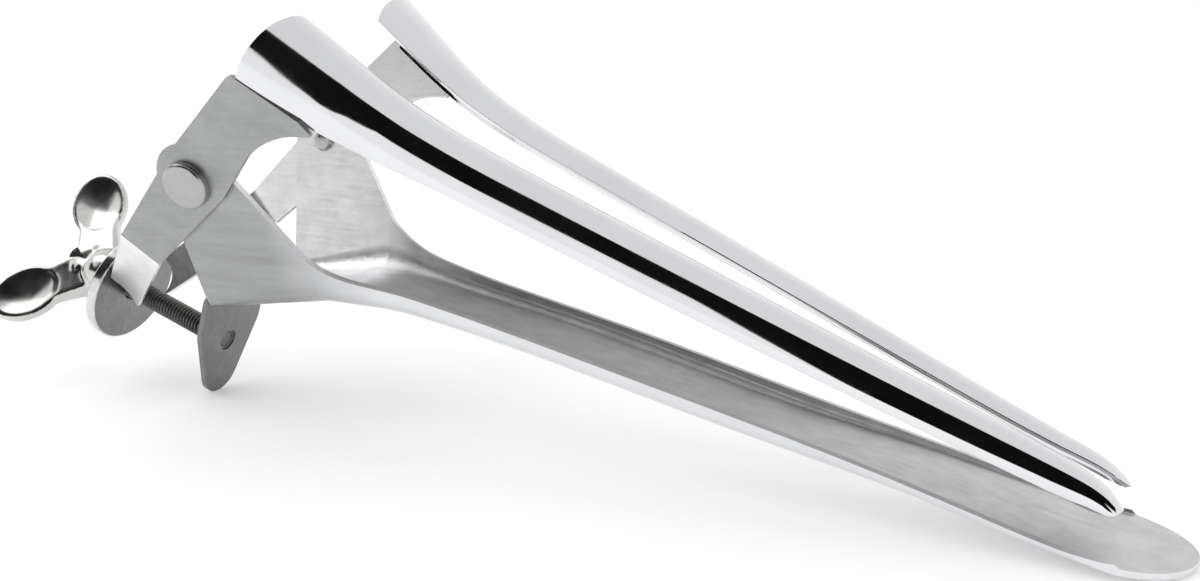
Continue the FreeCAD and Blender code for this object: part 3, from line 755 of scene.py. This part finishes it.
studio = {
    "floorSize": 6.0,
    "floorColor": 0.95,
    "floorDrop": 0.0002,
    "floorLift": 0.17,   # added for the camera and for reflections, so that the paper is white
    "worldStrength": 1.0,
    "ceiling": 0.84,     # brightness of the upper sky beside the walls' 1
    "lampPower": 3.0,
    "lampSize": (1.2, 0.8),
    "lampAt": (-0.9, -0.2, 1.1),
    "lampAim": (0, 0, 0.05),
    "cards": [           # dark cards behind the camera: lowest and highest elevation, from x to x
        (27.0, 72.0, -2.5, 2.5),
        (0.5, 27.2, 0.16, 1.1),
    ],
    "cardAway": 1.2,
    "cardColor": 0.004,
}


def newMatte(name, tone):
    material = bpy.data.materials.new(name)
    material.use_nodes = True
    inputs = material.node_tree.nodes["Principled BSDF"].inputs
    inputs["Base Color"].default_value = (tone, tone, tone, 1)
    inputs["Roughness"].default_value = 1.0
    inputs["Specular IOR Level"].default_value = 0.0
    return material


def makeStudio(settings):
    bm = bmesh.new()
    bmesh.ops.create_grid(bm, x_segments=8, y_segments=8, size=settings["floorSize"] / 2)
    floor = newObject("studio_floor", bm)
    floor.location = (0, 0, cadBox[0][2] - settings["floorDrop"])
    paper = newMatte("white_paper", settings["floorColor"])
    nodes, links = paper.node_tree.nodes, paper.node_tree.links
    rays = nodes.new("ShaderNodeLightPath")
    seen = addNode(nodes, "ShaderNodeMath", operation="MAXIMUM")
    links.new(rays.outputs["Is Camera Ray"], seen.inputs[0])
    links.new(rays.outputs["Is Glossy Ray"], seen.inputs[1])
    lift = addNode(nodes, "ShaderNodeMath", operation="MULTIPLY")
    links.new(seen.outputs[0], lift.inputs[0])
    lift.inputs[1].default_value = settings["floorLift"]
    glow = nodes.new("ShaderNodeEmission")
    links.new(lift.outputs[0], glow.inputs["Strength"])
    both = nodes.new("ShaderNodeAddShader")
    links.new(nodes["Principled BSDF"].outputs[0], both.inputs[0])
    links.new(glow.outputs[0], both.inputs[1])
    links.new(both.outputs[0], nodes["Material Output"].inputs["Surface"])
    floor.data.materials.append(paper)

    # dark cards, curved round the object over the camera, seen only in the metal
    away = settings["cardAway"]
    bm = bmesh.new()
    for low, high, fromX, toX in settings["cards"]:
        start = bm.verts.new((fromX, -away * math.cos(math.radians(low)), away * math.sin(math.radians(low))))
        end = bm.verts.new((toX, start.co.y, start.co.z))
        line = bm.edges.new((start, end))
        bmesh.ops.spin(bm, geom=[start, end, line], cent=(0, 0, 0), axis=(-1, 0, 0), dvec=(0, 0, 0),
                       angle=math.radians(high - low), steps=12)
    card = newObject("studio_card", bm)
    card.data.materials.append(newMatte("dark_felt", settings["cardColor"]))
    card.visible_camera = False
    card.visible_diffuse = False
    card.visible_shadow = False

    world = bpy.data.worlds.new("studio_light")
    world.use_nodes = True
    nodes, links = world.node_tree.nodes, world.node_tree.links
    coords = nodes.new("ShaderNodeTexCoord")
    split = nodes.new("ShaderNodeSeparateXYZ")
    links.new(coords.outputs["Generated"], split.inputs["Vector"])
    shade = spread(nodes, links, split.outputs["Z"], 0.25, 0.85, 1.0, settings["ceiling"])
    links.new(shade, nodes["Background"].inputs["Color"])
    nodes["Background"].inputs["Strength"].default_value = settings["worldStrength"]
    bpy.context.scene.world = world

    lamp = bpy.data.lights.new("soft_box", "AREA")
    lamp.shape = "RECTANGLE"
    lamp.size, lamp.size_y = settings["lampSize"]
    lamp.energy = settings["lampPower"]
    box = bpy.data.objects.new("soft_box", lamp)
    box.location = settings["lampAt"]
    box.rotation_euler = (Vector(settings["lampAim"]) - box.location).to_track_quat("-Z", "Y").to_euler()
    bpy.context.scene.collection.objects.link(box)


photoCamera = {          # worked out from the pivots, tips and rims in the photograph
    "sensorWidth": 36,
    "lens": 43.5,
    "clipStart": 0.01,
    "place": (266.121, -288.065, 139.163),
    "turn": (
        (0.89639151, -0.11146805, 0.42901881),
        (0.44286918, 0.26601675, -0.85621375),
        (-0.01868571, 0.95750194, 0.28782093),
    ),
}


def makeCamera(settings):
    camera = bpy.data.cameras.new("photo_camera")
    camera.sensor_width = settings["sensorWidth"]
    camera.lens = settings["lens"]
    camera.clip_start = settings["clipStart"]
    holder = bpy.data.objects.new("photo_camera", camera)
    place = Matrix.Translation(fromDrawing(*settings["place"]))
    holder.matrix_world = place @ Matrix(settings["turn"]).to_4x4()
    bpy.context.scene.collection.objects.link(holder)
    bpy.context.scene.camera = holder


makeStudio(studio)
makeCamera(photoCamera)
bpy.context.scene.view_settings.view_transform = "Standard"
print("studio and camera set")
